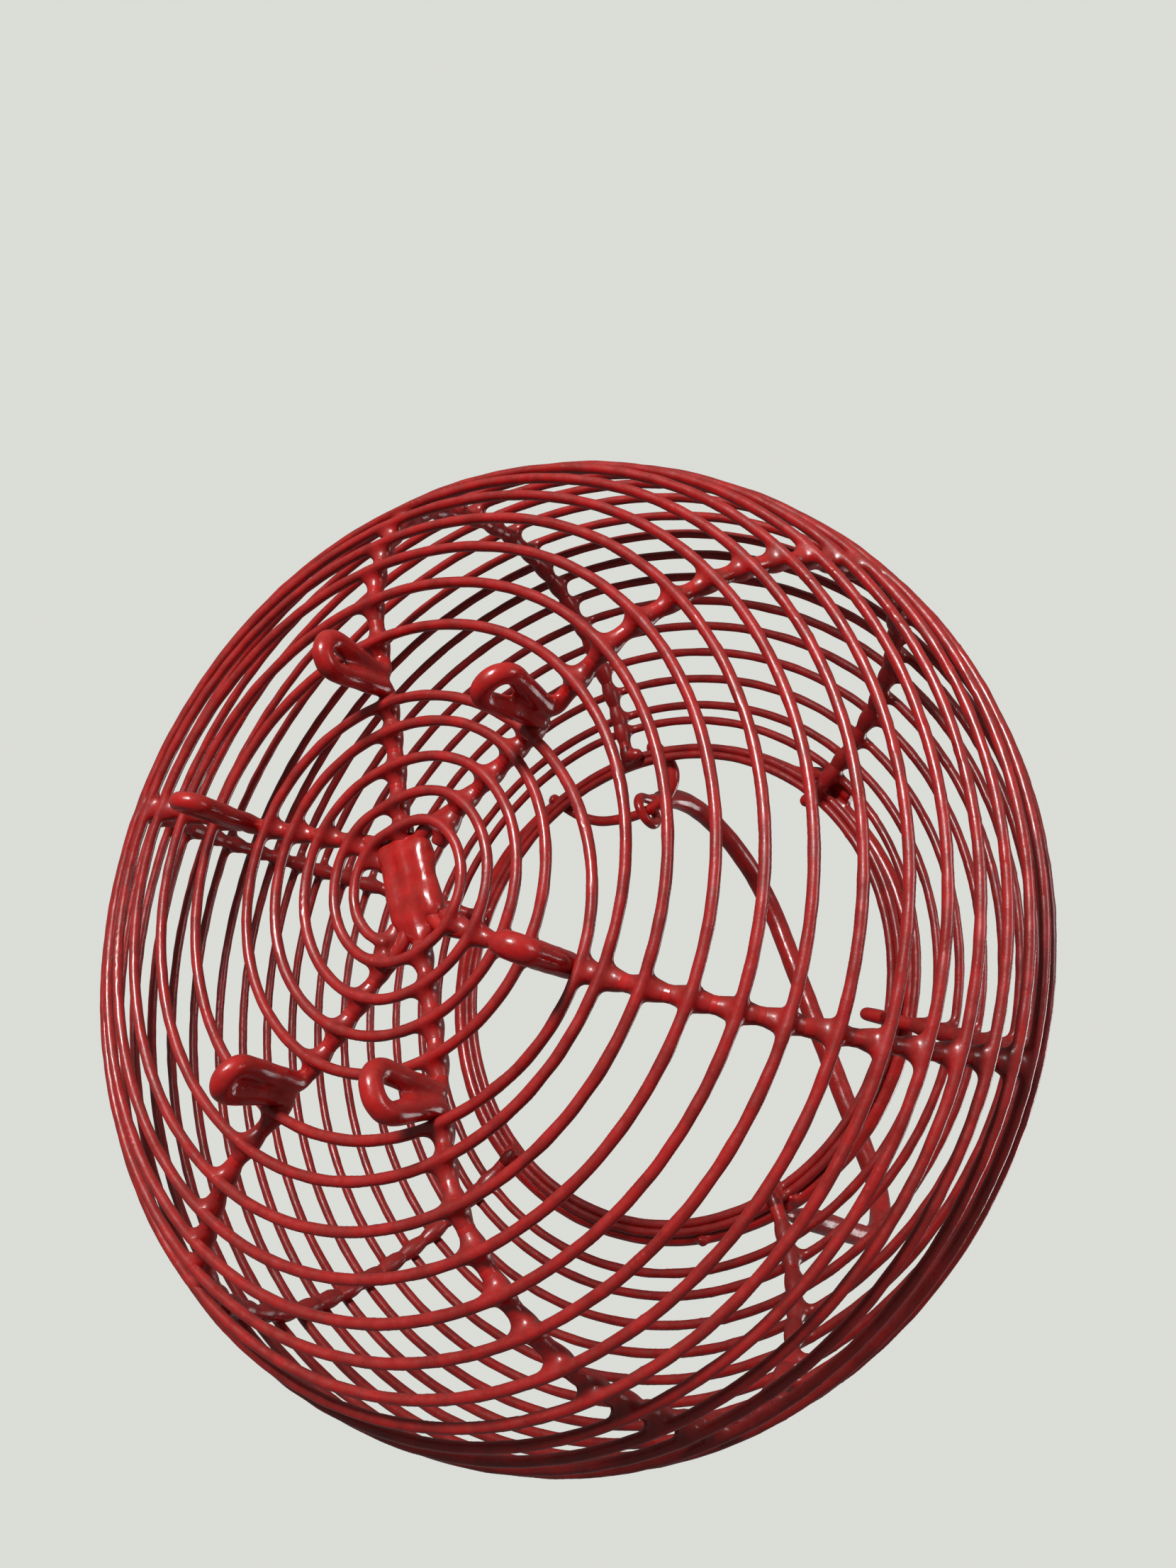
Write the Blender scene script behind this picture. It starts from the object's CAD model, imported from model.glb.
"""Wire egg basket, dip-coated in red plastic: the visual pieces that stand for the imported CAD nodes.

Lengths are millimetres until a mesh is made; MM turns them into metres.
Each rod is swept along its centreline, then the rods of one piece are fused in a level set, and
growing and shrinking that level set leaves the webs of coating in every corner where rods meet.
"""
import math

import bpy
import numpy as np
import openvdb
from mathutils import Matrix, Vector


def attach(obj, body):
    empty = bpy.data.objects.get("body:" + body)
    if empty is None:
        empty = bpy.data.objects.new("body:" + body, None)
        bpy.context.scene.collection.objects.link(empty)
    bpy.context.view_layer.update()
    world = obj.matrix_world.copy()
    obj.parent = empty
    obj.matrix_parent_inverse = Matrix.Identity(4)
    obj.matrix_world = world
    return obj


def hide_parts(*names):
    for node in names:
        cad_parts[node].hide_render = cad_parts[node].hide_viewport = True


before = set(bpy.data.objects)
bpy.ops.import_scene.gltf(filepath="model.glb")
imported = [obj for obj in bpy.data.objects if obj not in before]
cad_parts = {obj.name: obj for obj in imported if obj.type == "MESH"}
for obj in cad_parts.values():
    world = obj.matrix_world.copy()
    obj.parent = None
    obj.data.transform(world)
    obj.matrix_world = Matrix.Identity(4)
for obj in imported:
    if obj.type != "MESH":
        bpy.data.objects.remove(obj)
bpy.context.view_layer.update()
MM = 0.001

# ---------------------------------------------------------------- driving dimensions (mm, degrees)
RIB_R = 2.0
COIL_R = 1.34
HOOP_R = 2.25
EAR_R = 1.7
BAIL_R = 3.4
HUB_Z = 30.0
# the pinhole in the bundle's coating: place, radius and depth
PINHOLE = (10.2, -4.2, 1.1, 2.4)
# signed radius and length of the arcs of a rib's profile, from the hub outwards
PROFILE = [(-251.0, 64.8), (27.8, 13.9), (55.9, 47.1), (102.6, 32.7), (61.1, 96.5)]
RIB_END_S = sum(length for _, length in PROFILE)
TWIST_START_S = 62.5
# heading at the base, twist reached at the mouth, sideways shift at the base
RIBS = {
    "e": (54.8, 10.7, -5.7),
    "f": (122.1, 4.5, 9.1),
    "a": (193.3, -2.9, -2.5),
    "b": (257.5, -10.1, -8.4),
    "c": (308.9, -7.9, 5.2),
    "d": (0.5, -11.0, 0.5),
}
ORDER = "efabcd"
# where each rib leaves the bundle at the hub, and the far end of its rod inside the bundle
BUNDLE = {
    "a": ((-13.0, -0.6), (0.0, 0.0)),
    "d": ((13.0, 0.2), (0.0, 0.0)),
    "b": ((-9.9, -4.8), (0.0, -4.0)),
    "e": ((9.3, 3.8), (0.0, 3.8)),
    "f": ((-12.0, 4.0), (0.0, 3.8)),
    "c": ((9.1, -4.0), (0.0, -4.0)),
}
# the last bends of each rib past the mouth rings: onwards, and sideways along the rim
RIB_TAILS = {
    "a": [(1.5, 3.0), (0.5, 4.5)],
    "b": [(3.0, -0.5), (3.0, -1.5)],
    "c": [(4.5, 0.0), (4.5, 0.0)],
    "d": [(2.5, 0.0), (1.5, -0.5)],
    "e": [(1.5, 0.5), (1.2, 1.5)],
    "f": [(2.0, 0.0), (1.5, 0.0)],
}
FOOT_S = 52.5
# the coating is thicker on the feet; radius of the coated rod and of the hairpin's turn
FOOT_R = {"a": 2.5, "b": 2.45, "c": 2.95, "d": 2.6, "e": 2.6, "f": 2.4}
FOOT_TURN_R = {"a": 4.1, "b": 4.3, "c": 2.9, "d": 4.7, "e": 3.6, "f": 3.6}
FOOT_BASE_GAP = 3.6
FOOT_BEND_R = 2.5
# number of points over which a rib's coating thickens into a foot
FOOT_FADE = 7.0
# length along a rib at which it is on its own, clear of the bundle
RIB_FREE_S = 23
# length along the ribs that the coil has reached after n crossings, six crossings to a turn
REACH = [(0, 13.2), (1, 13.6), (6, 18.0), (12, 27.0), (24, 44.5), (27.3, 46.6), (27.75, 58.4), (30, 58.6),
         (36, 68.2), (60, 104.5), (104, 177.3), (152, 242.3), (158, 246.6), (160, 250.5)]
TURNS = 26
# crossings to a turn, the angle between them, and the heading of crossing number 0 past its multiple
STEPS = 6
STEP_ANGLE = 60
STEP_START = 6.2
# how far the coil's centreline lies outside the skin of a rib
COIL_LIFT = 1.12
TAIL_STEPS = 4
RING_Z = 154.95
RING_RADII = {"mouth_ring_inner": 71.6, "mouth_ring_outer": 73.9}
HOOP_Z = 158.3
# how far the heavy hoop stands outside the middle of the ring pair, at four headings
HOOP_OUT = [(30.0, 2.1), (95.0, 6.6), (225.0, 0.8), (300.0, 3.7)]
# heading of the hoop's first end, and how far its ends lie side by side
HOOP_JOINT = 243.0
HOOP_LAP = 7.0
HINGE = (7.0, -9.0, 161.5)
EAR_L_X = 57.0
EAR_R_X = 71.0
EAR_R_RAD = 4.2
HOOK_L_RAD = 4.9
HOOK_R = 1.6
HOOK_GAP = 0.9
LEAN = 4.0
WEB = 1.7
VOXEL = 0.5
# the side of the basket that lay upwards while it gathered dust
DUST_UP = Vector((-0.62, -0.55, -0.56))


# ---------------------------------------------------------------- curves
def plane_path(start, steps, spacing=0.6):
    """Points of a path of arcs (signed radius, degrees) and straights (0, length) in a plane."""
    x, z, heading = start
    points = [(x, z)]
    for radius, amount in steps:
        if radius == 0:
            count = max(1, int(amount / spacing))
            for k in range(1, count + 1):
                points.append((x + amount * k / count * math.cos(heading),
                               z + amount * k / count * math.sin(heading)))
        else:
            turn = math.copysign(math.radians(amount), radius)
            count = max(2, int(abs(radius * turn) / spacing))
            for k in range(1, count + 1):
                now = heading + turn * k / count
                points.append((x + radius * (math.sin(now) - math.sin(heading)),
                               z + radius * (math.cos(heading) - math.cos(now))))
            heading += turn
        x, z = points[-1]
    return np.array(points), heading


def through(points, spacing=0.8):
    """A smooth curve through the points, evenly sampled."""
    points = np.asarray(points, float)
    gaps = np.linalg.norm(np.diff(points, axis=0), axis=1)
    at = np.concatenate([[0], np.cumsum(gaps)])
    slope = np.gradient(points, at, axis=0)
    u = np.linspace(0, at[-1], max(2, int(at[-1] / spacing) + 1))
    i = np.clip(np.searchsorted(at, u, side="right") - 1, 0, len(gaps) - 1)
    h = gaps[i][:, None]
    x = (u - at[i])[:, None] / h
    return ((2 * x**3 - 3 * x**2 + 1) * points[i] + (x**3 - 2 * x**2 + x) * h * slope[i]
            + (3 * x**2 - 2 * x**3) * points[i + 1] + (x**3 - x**2) * h * slope[i + 1])


def polar(radius, heading, z):
    return np.array([radius * math.cos(math.radians(heading)), radius * math.sin(math.radians(heading)), z])


# ---------------------------------------------------------------- the ribs' shape
def profile(s):
    """Radius, height and slope angle of the rib's centreline at the length s along it."""
    x, z, heading = 0.0, 0.0, 0.0
    for index, (radius, length) in enumerate(PROFILE):
        part = min(s, length) if index < len(PROFILE) - 1 else s
        now = heading + part / radius
        x += radius * (math.sin(now) - math.sin(heading))
        z += radius * (math.cos(heading) - math.cos(now))
        heading = now
        s -= part
        if s <= 0:
            break
    return x, z, heading


def rib_heading(name, s):
    base, twist, _ = RIBS[name]
    return base + twist * max(0.0, s - TWIST_START_S) / (RIB_END_S - TWIST_START_S)


def on_rib(name, s, x, z):
    """A point of the rib's own plane, turned into the basket's frame."""
    shift = RIBS[name][2] * min(1.0, max(0.0, 1.6 - 0.6 * s / 125)) * min(1.0, s / 20)
    heading = math.radians(rib_heading(name, s))
    return np.array([x * math.cos(heading) - shift * math.sin(heading),
                     x * math.sin(heading) + shift * math.cos(heading), HUB_Z + z])


def rib_point(name, s, out=0.0):
    x, z, slope = profile(s)
    return on_rib(name, s, x + out * math.sin(slope), z - out * math.cos(slope))


def foot_points(name):
    """The hairpin foot, whose legs close up towards the base, and where it starts and ends along the rib."""
    turn_r = FOOT_TURN_R[name]
    low = FOOT_R[name] + turn_r - HUB_Z
    leg = profile(FOOT_S)[1] - FOOT_BEND_R - low
    spread = math.asin((2 * turn_r - FOOT_BASE_GAP) / (2 * leg + turn_r))
    half = FOOT_BASE_GAP / 2 + FOOT_BEND_R
    s1, s2 = FOOT_S - half, FOOT_S + half
    x1, z1, slope1 = profile(s1)
    x2, z2, slope2 = profile(s2)
    leg1 = z1 - FOOT_BEND_R - low
    leg2 = z2 - FOOT_BEND_R - low
    points, _ = plane_path((x1, z1, slope1), [
        (-FOOT_BEND_R, 90 + math.degrees(slope1 + spread)), (0, leg1),
        (turn_r, 180 + 2 * math.degrees(spread)), (0, leg2),
        (-FOOT_BEND_R, 90 + math.degrees(spread - slope2))])
    share = np.linspace(0, 1, len(points))
    drift = np.array([x2, z2]) - points[-1]
    points = points + share[:, None] * drift
    return [on_rib(name, s1 + (s2 - s1) * f, x, z) for f, (x, z) in zip(share, points)], s1, s2


def rib_line(name):
    leave, inside = BUNDLE[name]
    foot, s1, s2 = foot_points(name)
    start = [np.array([*inside, HUB_Z]), np.array([*leave, HUB_Z - 0.2])]
    start += [rib_point(name, s) for s in np.arange(RIB_FREE_S, s1 - 0.5, 4)]
    rest = [rib_point(name, s) for s in np.arange(s2 + 0.8, RIB_END_S, 2.0)]
    inwards = rest[-1] - rest[-2]
    inwards /= np.linalg.norm(inwards)
    around = np.cross([0.0, 0.0, 1.0], rest[-1] / np.linalg.norm(rest[-1]))
    for step, sideways in RIB_TAILS[name]:
        rest.append(rest[-1] + inwards * step + around * sideways)
    before, after = through(start), through(rest)
    line = np.vstack([before, foot, after])
    count = np.arange(len(line))
    fat = np.clip(np.minimum(count - len(before), len(before) + len(foot) - count) / FOOT_FADE, 0, 1)
    return line, RIB_R + (FOOT_R[name] - RIB_R) * (3 * fat**2 - 2 * fat**3)


# ---------------------------------------------------------------- the coil's shape
def reach(n):
    steps, lengths = zip(*REACH)
    return float(np.interp(n, steps, lengths))


def crossing(n):
    """Rib, and the length along it, where the coil makes its crossing number n."""
    name = ORDER[n % STEPS]
    nominal = STEP_ANGLE * (n % STEPS + 1) + STEP_START
    if name == "d":
        nominal -= 360
    s = reach(n)
    for _ in range(3):
        s = reach(n + (rib_heading(name, s) - nominal) / STEP_ANGLE)
    return name, s


def coil_line(first, last):
    """The coil's centreline between two crossings, through all the crossings on the way."""
    knots = []
    for n in range(max(0, first - 2), last + 3):
        name, s = crossing(n)
        p = rib_point(name, s, RIB_R + COIL_LIFT)
        knots.append((n, math.hypot(p[0], p[1]), p[2], math.degrees(math.atan2(p[1], p[0]))))
    knots = np.array(knots)
    knots[:, 3] = np.degrees(np.unwrap(np.radians(knots[:, 3])))
    fine = []
    slopes = np.gradient(knots[:, 1:], knots[:, 0], axis=0)
    for k in range(len(knots) - 1):
        n = knots[k, 0]
        if n < first or n >= last:
            continue
        t = np.linspace(0, 1, max(8, int(knots[k, 1] * 1.05 / 1.2)), endpoint=n == last - 1)[:, None]
        a, b = knots[k, 1:], knots[k + 1, 1:]
        fine.append((2 * t**3 - 3 * t**2 + 1) * a + (t**3 - 2 * t**2 + t) * slopes[k]
                    + (3 * t**2 - 2 * t**3) * b + (t**3 - t**2) * slopes[k + 1])
    fine = np.vstack(fine)
    return np.array([polar(radius, heading, z) for radius, z, heading in fine])


# ---------------------------------------------------------------- solids
def tube(line, radius, sides=14, rounded=True):
    """A closed tube of one or many radii along a line, with round ends."""
    line = np.asarray(line, float)
    radius = np.broadcast_to(radius, (len(line),)).astype(float)
    ahead = np.gradient(line, axis=0)
    ahead /= np.linalg.norm(ahead, axis=1)[:, None]
    if rounded:
        lift = np.radians([80.0, 55.0, 28.0])
        r0, r1 = radius[0], radius[-1]
        line = np.vstack([line[0] - ahead[0] * r0 * np.sin(lift)[:, None], line,
                          line[-1] + ahead[-1] * r1 * np.sin(lift[::-1])[:, None]])
        radius = np.concatenate([r0 * np.cos(lift), radius, r1 * np.cos(lift[::-1])])
        ahead = np.vstack([[ahead[0]] * 3, ahead, [ahead[-1]] * 3])
    side = np.cross(ahead[0], [0.0, 0.0, 1.0] if abs(ahead[0][2]) < 0.9 else [1.0, 0.0, 0.0])
    sideways = []
    for direction in ahead:
        side = side - direction * (side @ direction)
        side /= np.linalg.norm(side)
        sideways.append(side)
    sideways = np.array(sideways)
    upwards = np.cross(ahead, sideways)
    turn = np.arange(sides) * 2 * np.pi / sides
    rings = line[:, None] + radius[:, None, None] * (
        np.cos(turn)[None, :, None] * sideways[:, None] + np.sin(turn)[None, :, None] * upwards[:, None])
    points = np.vstack([rings.reshape(-1, 3), line[0], line[-1]])
    row = np.arange(len(line) - 1)[:, None] * sides
    col = np.arange(sides)[None]
    nxt = (col + 1) % sides
    quads = np.stack([row + col, row + nxt, row + sides + nxt, row + sides + col], -1).reshape(-1, 4)
    last = (len(line) - 1) * sides
    k = np.arange(sides)
    caps = np.vstack([
        np.stack([np.full(sides, len(points) - 2), (k + 1) % sides, k], -1),
        np.stack([np.full(sides, len(points) - 1), last + k, last + (k + 1) % sides], -1)])
    return points, quads, caps


def sleeve(name, s, half=4.6, swell=0.75):
    """The thicker coating round a rib at a crossing: its ends sink into the rib."""
    u = np.linspace(-1, 1, 13)
    line = [rib_point(name, min(max(s + half * v, 8.0), RIB_END_S + 2.5)) for v in u]
    return tube(line, RIB_R - 0.14 + swell * (1 - u**2) ** 1.5, rounded=False)


def drop(point, direction, size, length):
    """A hanging drip: a ball that tapers to the wire."""
    u = np.linspace(0, 1, 8)
    line = [np.asarray(point) + np.asarray(direction) * length * v for v in u]
    return tube(line, size * (0.75 + 0.35 * np.sin(math.pi * u) - 0.25 * u))


def fuse(solids, web, voxel=VOXEL):
    """One skin round all the solids, with every inner corner rounded to the radius web."""
    points, quads, caps, base = [], [], [], 0
    for p, q, c in solids:
        points.append(p)
        quads.append(q + base)
        caps.append(c + base)
        base += len(p)
    grid_step = openvdb.createLinearTransform(voxelSize=voxel)
    band = web / voxel + 2
    grid = openvdb.FloatGrid.createLevelSetFromPolygons(
        np.vstack(points).astype(np.float32), triangles=np.vstack(caps).astype(np.uint32),
        quads=np.vstack(quads).astype(np.uint32), transform=grid_step, halfWidth=band)
    grown, _, grown_quads = grid.convertToPolygons(isovalue=web, adaptivity=0)
    grid = openvdb.FloatGrid.createLevelSetFromPolygons(
        grown, quads=grown_quads, transform=grid_step, halfWidth=band)
    skin, _, faces = grid.convertToPolygons(isovalue=-web, adaptivity=0)
    return relax(skin.astype(float), faces.astype(np.int64)), faces[:, ::-1]


def relax(points, faces):
    """Smooths the steps of the grid out of a skin; the second and fourth pass undo the shrinking."""
    ends = np.concatenate([faces, faces[:, [1, 2, 3, 0]]]).ravel("F")
    others = np.concatenate([faces[:, [1, 2, 3, 0]], faces]).ravel("F")
    count = np.maximum(np.bincount(ends, minlength=len(points)), 1)
    for amount in (0.6, -0.62, 0.6, -0.62):
        mean = np.column_stack([np.bincount(ends, points[others, axis], len(points)) for axis in range(3)])
        points = points + amount * (mean / count[:, None] - points)
    return points


def swell_noise(points, normals, amount, scale):
    """Uneven coating: a smooth sum of waves moves the skin in and out a little."""
    rng = np.random.default_rng(7)
    total = np.zeros(len(points))
    for _ in range(9):
        direction = rng.normal(size=3)
        direction /= np.linalg.norm(direction)
        wave = 2 * np.pi / (scale * rng.uniform(0.6, 1.8))
        total += np.sin(points @ direction * wave + rng.uniform(0, 6.28))
    return points + normals * (amount * total / 3)[:, None]


def vertex_normals(points, faces):
    corner = [points[faces[:, i]] for i in range(4)]
    face = np.cross(corner[2] - corner[0], corner[3] - corner[1])
    out = np.zeros_like(points)
    for i in range(4):
        for axis in range(3):
            out[:, axis] += np.bincount(faces[:, i], face[:, axis], len(points))
    return out / np.maximum(np.linalg.norm(out, axis=1), 1e-9)[:, None]


def piece(node, solids, material, web=WEB, voxel=VOXEL, body="basket", noise=0.05,
          apart=(), pinhole=None):
    """One object for a node; the solids in apart get a skin of their own, with no web to the others."""
    points, faces = fuse(solids, web, voxel)
    if apart:
        more, more_faces = fuse(apart, web, voxel)
        faces = np.vstack([faces, more_faces + len(points)])
        points = np.vstack([points, more])
    points = swell_noise(points, vertex_normals(points, faces), noise, 7.0)
    if pinhole:
        near = np.hypot(points[:, 0] - pinhole[0], points[:, 1] - pinhole[1]) / pinhole[2]
        points[:, 2] += np.where(points[:, 2] < HUB_Z, pinhole[3] * np.clip(1 - near**2, 0, 1), 0.0)
    mesh = bpy.data.meshes.new("skin_" + node)
    mesh.vertices.add(len(points))
    mesh.vertices.foreach_set("co", (points * MM).astype(np.float32).ravel())
    mesh.loops.add(faces.size)
    mesh.loops.foreach_set("vertex_index", faces.astype(np.int32).ravel())
    mesh.polygons.add(len(faces))
    mesh.polygons.foreach_set("loop_start", np.arange(0, faces.size, 4, dtype=np.int32))
    mesh.update(calc_edges=True)
    mesh.validate()
    mesh.polygons.foreach_set("use_smooth", np.ones(len(mesh.polygons), dtype=bool))
    mesh.materials.append(material)
    obj = bpy.data.objects.new("skin_" + node, mesh)
    bpy.context.scene.collection.objects.link(obj)
    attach(obj, body)
    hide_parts(node)
    return obj


# ---------------------------------------------------------------- material
# scales of the noises, per metre
CLOUDS, PATCHES, SPECKS, GLOSS, GRAIN = 160, 420, 2600, 300, 900
# strongest dust, and how much it adds to the roughness
DUST_MOST = 0.34
DUST_ROUGH = 0.45


def dipped_plastic(name, colour, deep, dusty, rough):
    """Glossy red dip coating with clouded colour, specks, and dust on the side that lay upwards."""
    material = bpy.data.materials.new(name)
    material.use_nodes = True
    nodes = material.node_tree.nodes
    links = material.node_tree.links
    shader = nodes["Principled BSDF"]
    shader.inputs["IOR"].default_value = 1.5
    shader.inputs["Coat Weight"].default_value = 0.15
    shader.inputs["Coat Roughness"].default_value = 0.12
    coords = nodes.new("ShaderNodeTexCoord")

    def noise(scale, detail, rough=0.6):
        node = nodes.new("ShaderNodeTexNoise")
        node.inputs["Scale"].default_value = scale
        node.inputs["Detail"].default_value = detail
        node.inputs["Roughness"].default_value = rough
        links.new(coords.outputs["Object"], node.inputs["Vector"])
        return node.outputs["Fac"]

    def ramp(source, low, high, out_low=0.0, out_high=1.0):
        node = nodes.new("ShaderNodeMapRange")
        node.interpolation_type = "SMOOTHSTEP"
        node.inputs["From Min"].default_value = low
        node.inputs["From Max"].default_value = high
        node.inputs["To Min"].default_value = out_low
        node.inputs["To Max"].default_value = out_high
        links.new(source, node.inputs["Value"])
        return node.outputs["Result"]

    def mix(factor, first, second):
        node = nodes.new("ShaderNodeMix")
        node.data_type = "RGBA"
        links.new(factor, node.inputs["Factor"])
        for socket, value in (("A", first), ("B", second)):
            target = [i for i in node.inputs if i.name == socket and i.type == "RGBA"][0]
            if isinstance(value, tuple):
                target.default_value = (*value, 1.0)
            else:
                links.new(value, target)
        return [o for o in node.outputs if o.type == "RGBA"][0]

    def math_node(kind, first, second):
        node = nodes.new("ShaderNodeMath")
        node.operation = kind
        for index, value in enumerate((first, second)):
            if isinstance(value, (int, float)):
                node.inputs[index].default_value = value
            else:
                links.new(value, node.inputs[index])
        return node.outputs[0]

    clouds = ramp(noise(CLOUDS, 4), 0.35, 0.65)
    body = mix(clouds, deep, colour)
    facing = nodes.new("ShaderNodeVectorMath")
    facing.operation = "DOT_PRODUCT"
    facing.inputs[1].default_value = DUST_UP.normalized()
    links.new(coords.outputs["Normal"], facing.inputs[0])
    upward = ramp(facing.outputs["Value"], -0.25, 0.95)
    patchy = ramp(noise(PATCHES, 6, 0.7), 0.3, 0.7, 0.45, 1.0)
    dust = math_node("MULTIPLY", math_node("MULTIPLY", upward, patchy), DUST_MOST)
    specks = ramp(noise(SPECKS, 2, 0.5), 0.70, 0.78)
    dust = math_node("MAXIMUM", dust, math_node("MULTIPLY", specks, math_node("MULTIPLY", upward, 0.8)))
    links.new(mix(dust, body, dusty), shader.inputs["Base Color"])
    gloss = ramp(noise(GLOSS, 5), 0.3, 0.7, *rough)
    links.new(math_node("ADD", gloss, math_node("MULTIPLY", dust, DUST_ROUGH)), shader.inputs["Roughness"])
    bump = nodes.new("ShaderNodeBump")
    bump.inputs["Strength"].default_value = 0.25
    bump.inputs["Distance"].default_value = 0.0002
    links.new(math_node("ADD", noise(GRAIN, 3), math_node("MULTIPLY", dust, 0.6)), bump.inputs["Height"])
    links.new(bump.outputs["Normal"], shader.inputs["Normal"])
    return material


heavy = dipped_plastic("dipped_heavy_wire", (0.42, 0.004, 0.005), (0.28, 0.003, 0.003), (0.34, 0.065, 0.05),
                       (0.12, 0.22))
thin = dipped_plastic("dipped_coil_wire", (0.34, 0.004, 0.005), (0.21, 0.003, 0.003), (0.32, 0.07, 0.055),
                      (0.20, 0.32))


# ---------------------------------------------------------------- camera
camera_data = bpy.data.cameras.new("main_view")
camera_data.lens = 31.68
camera_data.sensor_width = 36.0
camera_data.clip_start = 0.01
camera = bpy.data.objects.new("main_view", camera_data)
bpy.context.scene.collection.objects.link(camera)
VIEW_RIGHT = Vector((0.25849, -0.81746, 0.5146))
VIEW_DOWN = Vector((0.85059, 0.44517, 0.2798))
VIEW_AHEAD = Vector((-0.45785, 0.36539, 0.8105))
columns = Matrix((VIEW_RIGHT, -VIEW_DOWN, -VIEW_AHEAD)).transposed()
camera.matrix_world = Matrix.Translation(Vector((136.3, -161.2, -215.1)) * MM) @ columns.to_4x4()
bpy.context.scene.camera = camera

# ---------------------------------------------------------------- ribs and hub
for name in ORDER:
    piece("rib_" + name, [tube(*rib_line(name))], heavy, web=1.2, voxel=0.45, noise=0.08)

bundle = []
for first, second in (("a", "d"), ("b", "c"), ("f", "e")):
    ends = [np.array([*BUNDLE[n][0], HUB_Z]) for n in (first, second)]
    share = np.linspace(0, 1, 24)
    swell = 0.55 + 0.5 * np.sin(math.pi * share) ** 0.6 + 0.25 * np.sin(9 * share + len(bundle))
    bundle.append(tube([ends[0] + (ends[1] - ends[0]) * t for t in share], RIB_R + swell))
piece("hub_pad", bundle, heavy, web=4.0, voxel=0.45, noise=0.22, pinhole=PINHOLE)

# ---------------------------------------------------------------- coil
for turn in range(1, TURNS + 1):
    first, last = STEPS * (turn - 1), STEPS * turn
    solids = [tube(coil_line(first, last), COIL_R, 12)]
    solids += [sleeve(*crossing(n)) for n in range(first, last)]
    tail = []
    if turn == TURNS:
        tail = [tube(coil_line(last, last + TAIL_STEPS), COIL_R, 12)]
        tail += [sleeve(*crossing(n)) for n in range(last, last + TAIL_STEPS)]
    piece("coil_turn_%02d" % turn, solids, thin, apart=tail)


# ---------------------------------------------------------------- mouth
def ring(radius_at, z, wire_r, gap=0.0):
    headings = np.arange(gap, 360.0 + gap + 0.1, 1.2)
    return tube([polar(radius_at(h), h, z) for h in headings], wire_r, 16, rounded=False)


def hoop_radius(heading):
    headings = np.array([h for h, _ in HOOP_OUT])
    outs = np.array([o for _, o in HOOP_OUT])
    weight = np.array([math.exp(3.0 * math.cos(math.radians(heading - h))) for h in headings])
    return 72.7 + float((weight * outs).sum() / weight.sum())


for node, radius in RING_RADII.items():
    solids = [ring(lambda h: radius, RING_Z, COIL_R)]
    solids += [sleeve(name, RIB_END_S - 0.5, half=3.0, swell=0.5) for name in ORDER]
    piece(node, solids, thin)


def hoop_line():
    """The heavy hoop is one rod whose ends lie side by side for a short way."""
    line = []
    for step in np.linspace(0.0, 360.0 + HOOP_LAP, 320):
        ease = min(1.0, max(0.0, (step - 350.0) / 10.0))
        aside = 2 * HOOP_R * (0.5 - 0.5 * math.cos(math.pi * ease))
        line.append(polar(hoop_radius(HOOP_JOINT + step) + aside, HOOP_JOINT + step, HOOP_Z - 0.3 * aside))
    return line


drips = [drop(polar(radius, heading, HOOP_Z - 1.4), (0, 0, -1), 1.9, 2.2)
         for radius, heading in ((76.6, 10.0), (75.5, -13.0))]
piece("rim_hoop", [tube(hoop_line(), HOOP_R, 18, rounded=False), *drips], heavy, web=0.8)

# ---------------------------------------------------------------- ears
LEFT_EAR = [
    (-74.6, 20.2, 157.6), (-71.5, 18.0, 158.4), (-66.5, 14.3, 160.2), (-62.3, 9.2, 161.4),
    (-59.2, 2.0, 161.5), (-57.3, -6.0, 161.5), (-57.2, -12.0, 161.5), (-59.3, -18.0, 161.4),
    (-64.0, -21.6, 160.5),
    (-70.0, -21.2, 158.8), (-74.4, -19.6, 157.6)]
welds = [drop(end, (0.1, 0.0, -1.0), 2.3, 1.6) for end in (LEFT_EAR[0], LEFT_EAR[-1])]
ear_line = through(LEFT_EAR)
ear_r = EAR_R + 0.9 * np.clip(np.linspace(-2.2, 1.4, len(ear_line)), 0, 1)
piece("ear_left", [tube(ear_line, ear_r), *welds], heavy, voxel=0.4)

leg = HINGE[2] - RING_Z - COIL_R
side, _ = plane_path((EAR_R_RAD, -leg, math.pi / 2), [(0, leg), (EAR_R_RAD, 180), (0, leg)], 0.4)
turn = math.atan2(HINGE[1], EAR_R_X)
radius = math.hypot(EAR_R_X, HINGE[1])
ear_line = [(radius * math.cos(turn) - y * math.sin(turn), radius * math.sin(turn) + y * math.cos(turn),
             HINGE[2] + z) for y, z in side]
piece("ear_right", [tube(ear_line, EAR_R)], heavy, voxel=0.4)

# ---------------------------------------------------------------- bail
HALF = (EAR_R_X + EAR_L_X) / 2
# radii of the grip's corners, and the angle at which its top rises to the right
LEFT_TURN, RIGHT_TURN, RISE = 42.0, 22.0, 3.0
# the grip's ends: across and above the hinge line, and the angle of the side there
LEFT_SIDE = (-(HALF + 6.0), 9.5, 116.0)
RIGHT_SIDE = (HALF + 5.7, 19.0, 81.0)
LEFT_STUB = 3.0


def hook_path(grip, hook_r, hook_z):
    """The hook of one side, from the grip's end to its tip."""
    down = (HALF - grip[0], hook_z - grip[1])
    length = math.hypot(*down)
    heading = math.atan2(down[1], down[0]) + math.asin(hook_r / length)
    curl = 360 - math.degrees(math.acos(1 - (2 * HOOK_R + HOOK_GAP) / hook_r))
    return plane_path((*grip, heading), [(0, math.sqrt(length**2 - hook_r**2)), (-hook_r, curl)], 0.5)[0]


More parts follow.
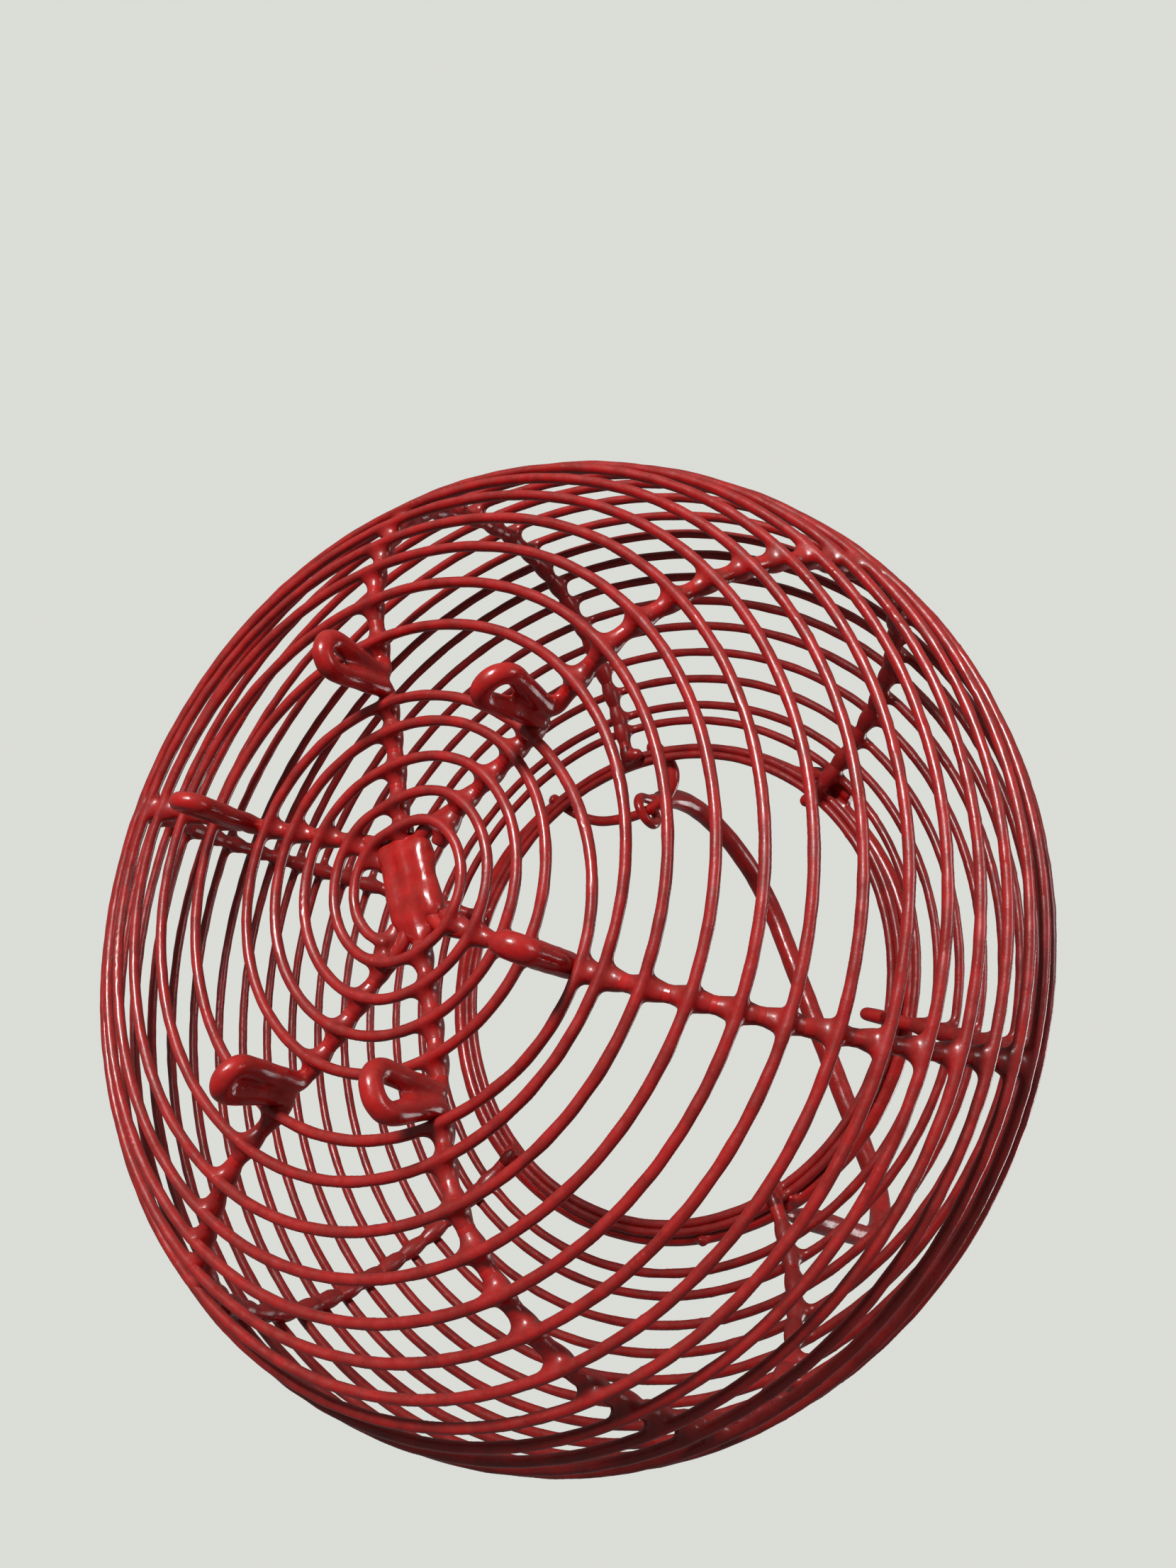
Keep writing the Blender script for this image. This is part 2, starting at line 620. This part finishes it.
def grip_path():
    """The grip from left to right: a wide corner, a top that rises, and a tight corner."""
    x, z, leave = LEFT_SIDE
    left, _ = plane_path((x, z, math.radians(leave)), [
        (0, LEFT_STUB), (-LEFT_TURN, leave - RISE)])
    turned = RISE + 180 - RIGHT_SIDE[2]
    right, _ = plane_path((0.0, 0.0, math.radians(RISE)), [(-RIGHT_TURN, turned)])
    top = np.array([math.cos(math.radians(RISE)), math.sin(math.radians(RISE))])
    side = np.array([math.cos(math.radians(RISE - turned)), math.sin(math.radians(RISE - turned))])
    rest = np.array(RIGHT_SIDE[:2]) - left[-1] - right[-1]
    top_len, side_len = np.linalg.solve(np.column_stack([top, side]), rest)
    return plane_path((x, z, math.radians(leave)), [
        (0, LEFT_STUB), (-LEFT_TURN, leave - RISE), (0, top_len), (-RIGHT_TURN, turned), (0, side_len)])[0]


left_hook = hook_path((-LEFT_SIDE[0], LEFT_SIDE[1]), HOOK_L_RAD, 0.0) * (-1, 1)
right_hook = hook_path(RIGHT_SIDE[:2], EAR_R_RAD, EAR_R_RAD)
flat = np.vstack([left_hook[:0:-1], grip_path(), right_hook[1:]])
along = np.concatenate([[0], np.cumsum(np.linalg.norm(np.diff(flat, axis=0), axis=1))])
start, end = along[len(left_hook) - 1], along[-len(right_hook)]
thick = np.minimum((along - start + 6.0) / 9.0, (end - along + 12.0) / 13.0)
bail_r = HOOK_R + (BAIL_R - HOOK_R) * np.clip(thick, 0, 1) ** 0.8
lean = math.radians(LEAN)
bail_line = [(HINGE[0] + x, HINGE[1] - z * math.sin(lean), HINGE[2] + z * math.cos(lean)) for x, z in flat]
piece("bail", [tube(bail_line, bail_r, 20)], heavy, web=0.3, body="bail")

# ---------------------------------------------------------------- floor, light
floor_mesh = bpy.data.meshes.new("floor")
FLOOR_HALF = 3.0
floor_mesh.from_pydata([(-FLOOR_HALF, -FLOOR_HALF, 0), (FLOOR_HALF, -FLOOR_HALF, 0),
                        (FLOOR_HALF, FLOOR_HALF, 0), (-FLOOR_HALF, FLOOR_HALF, 0)], [], [(0, 1, 2, 3)])
floor = bpy.data.objects.new("floor", floor_mesh)
bpy.context.scene.collection.objects.link(floor)
pale = bpy.data.materials.new("pale_floor")
pale.use_nodes = True
tree = pale.node_tree
tree.nodes["Principled BSDF"].inputs["Base Color"].default_value = (0.72, 0.72, 0.70, 1)
tree.nodes["Principled BSDF"].inputs["Roughness"].default_value = 0.8
clear = tree.nodes.new("ShaderNodeBsdfTransparent")
choose = tree.nodes.new("ShaderNodeMixShader")
side_of = tree.nodes.new("ShaderNodeNewGeometry")
tree.links.new(side_of.outputs["Backfacing"], choose.inputs["Fac"])
tree.links.new(tree.nodes["Principled BSDF"].outputs[0], choose.inputs[1])
tree.links.new(clear.outputs[0], choose.inputs[2])
tree.links.new(choose.outputs[0], tree.nodes["Material Output"].inputs["Surface"])
floor_mesh.materials.append(pale)
floor.visible_shadow = False
floor.visible_diffuse = False
floor.visible_glossy = False

world = bpy.data.worlds.new("studio")
bpy.context.scene.world = world
world.use_nodes = True
tree = world.node_tree
tree.nodes["Background"].inputs["Color"].default_value = (0.71, 0.72, 0.68, 1)
tree.nodes["Background"].inputs["Strength"].default_value = 1.0
soft = tree.nodes.new("ShaderNodeBackground")
soft.inputs["Color"].default_value = (0.80, 0.82, 0.80, 1)
soft.inputs["Strength"].default_value = 0.17
seen = tree.nodes.new("ShaderNodeLightPath")
blend = tree.nodes.new("ShaderNodeMixShader")
tree.links.new(seen.outputs["Is Camera Ray"], blend.inputs["Fac"])
tree.links.new(soft.outputs[0], blend.inputs[1])
tree.links.new(tree.nodes["Background"].outputs[0], blend.inputs[2])
tree.links.new(blend.outputs[0], tree.nodes["World Output"].inputs["Surface"])
bpy.context.scene.view_settings.view_transform = "Standard"


def area_light(name, direction, distance, size, power, colour=(1.0, 1.0, 1.0)):
    """A square soft light that looks at the middle of the basket from the given direction."""
    data = bpy.data.lights.new(name, "AREA")
    data.size = size
    data.energy = power
    data.color = colour
    lamp = bpy.data.objects.new(name, data)
    middle = Vector((0.0, 0.0, 0.09))
    lamp.location = middle + Vector(direction).normalized() * distance
    lamp.rotation_euler = (middle - lamp.location).to_track_quat("-Z", "Y").to_euler()
    bpy.context.scene.collection.objects.link(lamp)


area_light("key", DUST_UP - VIEW_AHEAD * 0.55 - VIEW_RIGHT * 0.45, 1.3, 0.24, 21.0)
area_light("side", DUST_UP * 0.3 + VIEW_RIGHT * 1.0 - VIEW_AHEAD * 0.3, 1.4, 0.45, 4.5)
area_light("over_mouth", (0.3, -0.4, 1.0), 1.4, 0.6, 5.0)
